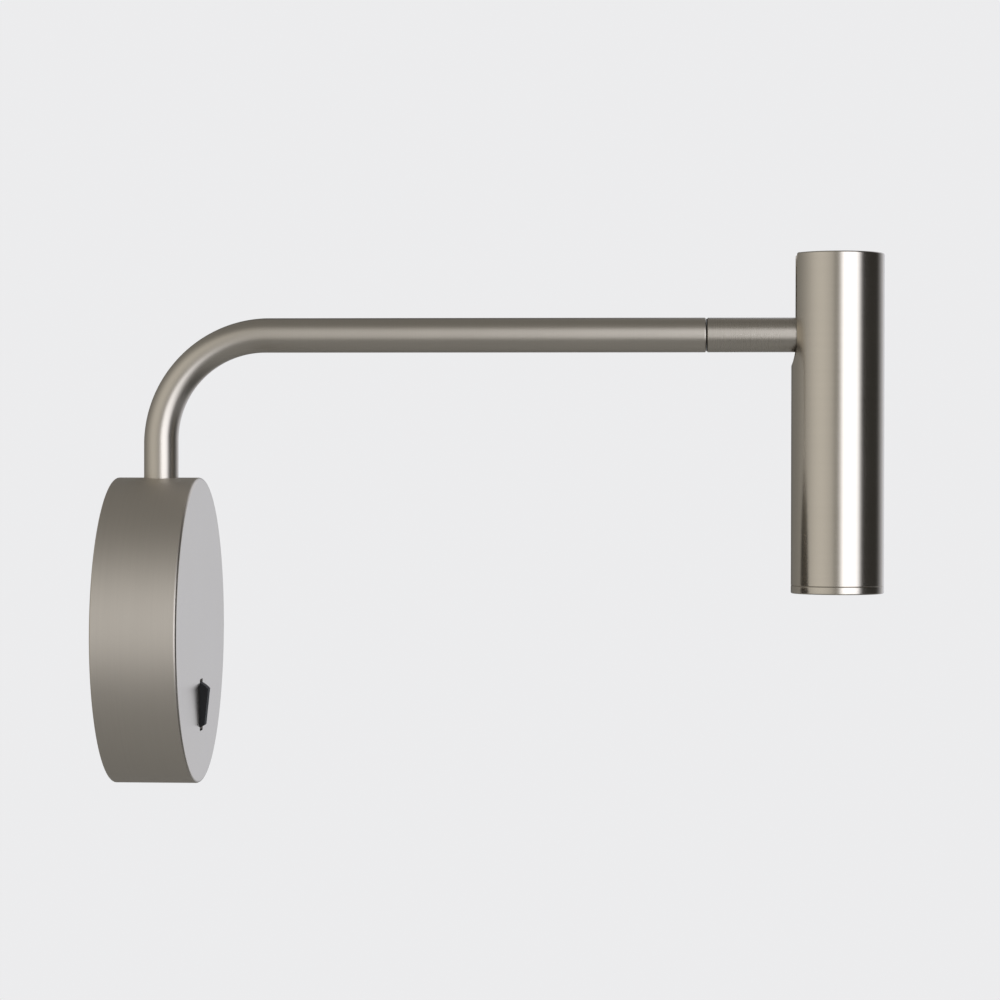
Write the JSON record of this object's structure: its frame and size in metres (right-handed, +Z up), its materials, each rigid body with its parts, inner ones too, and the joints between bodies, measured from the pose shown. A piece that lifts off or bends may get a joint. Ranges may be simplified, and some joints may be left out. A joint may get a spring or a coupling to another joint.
{
  "type": "bedside wall reading lamp",
  "caption": "Slim LED reading lamp: round wall canopy with a rocker switch, bent arm that swings, and a slotted cylindrical head that rolls and tilts.",
  "frame": {"origin": "centre of the wall plate's back, in the plane of the wall", "axes": "+Y into the wall, -Y out into the room along the arm, +Z up, +X to the right as seen from the room's side"},
  "size_m": [0.08, 0.2, 0.1382],
  "materials": {
    "nickel": "fine-brushed satin nickel plate",
    "steel": "zinc-plated steel",
    "brass": "turned brass",
    "aluminium": "plain turned aluminium",
    "black_plastic": "fine matt black moulding",
    "white_plastic": "matt white moulding",
    "grey_plastic": "matt grey",
    "nylon": "natural nylon",
    "rubber": "soft black rubber",
    "board": "lacquered circuit board",
    "pad": "soft grey pad",
    "phosphor": "LED phosphor",
    "lens": "satin acrylic",
    "lead_black": "smooth insulation"
  },
  "bodies": {
    "base": {"canopy": "nickel", "wall_plate": "steel", "cable_grommet": "rubber", "canopy_screw": "steel", "terminal_block": "white_plastic", "driver_case": "black_plastic", "driver_lid": "black_plastic", "driver_board": "board", "transformer": "grey_plastic", "capacitor": "grey_plastic", "fuse": "grey_plastic", "switch_body": "black_plastic", "switch_pin": "steel", "switch_terminals": "brass", "foot_bush": "brass", "driver_lead": "lead_black"},
    "rocker": {"rocker": "black_plastic"},
    "arm": {"arm_tube": "nickel", "foot_collar": "nickel", "stop_pin": "steel", "spring_washer": "steel", "foot_nut": "steel", "roll_bush": "brass", "arm_lead": "lead_black"},
    "swivel": {"swivel_stub": "nickel", "seam_washer": "black_plastic", "stop_washer": "steel", "tilt_screws": "steel", "tilt_washers": "nylon", "stub_lead": "lead_black"},
    "head": {"head_tube": "nickel", "head_core": "aluminium", "thermal_pad": "pad", "led_board": "white_plastic", "led_chip": "phosphor", "reflector": "white_plastic", "lens": "lens", "bezel_ring": "nickel", "head_lead": "lead_black"}
  },
  "joints": [
    {"name": "arm_swing", "type": "hinge", "parent": "base", "child": "arm", "pos_m": [0, -0.0114, 0], "axis": [0, 0, 1], "range_deg": [-85, 85]},
    {"name": "head_roll", "type": "hinge", "parent": "arm", "child": "swivel", "pos_m": [0, -0.154, 0.0772], "axis": [0, 1, 0], "range_deg": [-158, 158]},
    {"name": "head_tilt", "type": "hinge", "parent": "swivel", "child": "head", "pos_m": [0, -0.188, 0.0772], "axis": [-1, 0, 0], "range_deg": [-15, 90]},
    {"name": "rocker_press", "type": "hinge", "parent": "base", "child": "rocker", "pos_m": [0, -0.0192, -0.0196], "axis": [1, 0, 0], "range_deg": [-12, 0]}
  ]
}
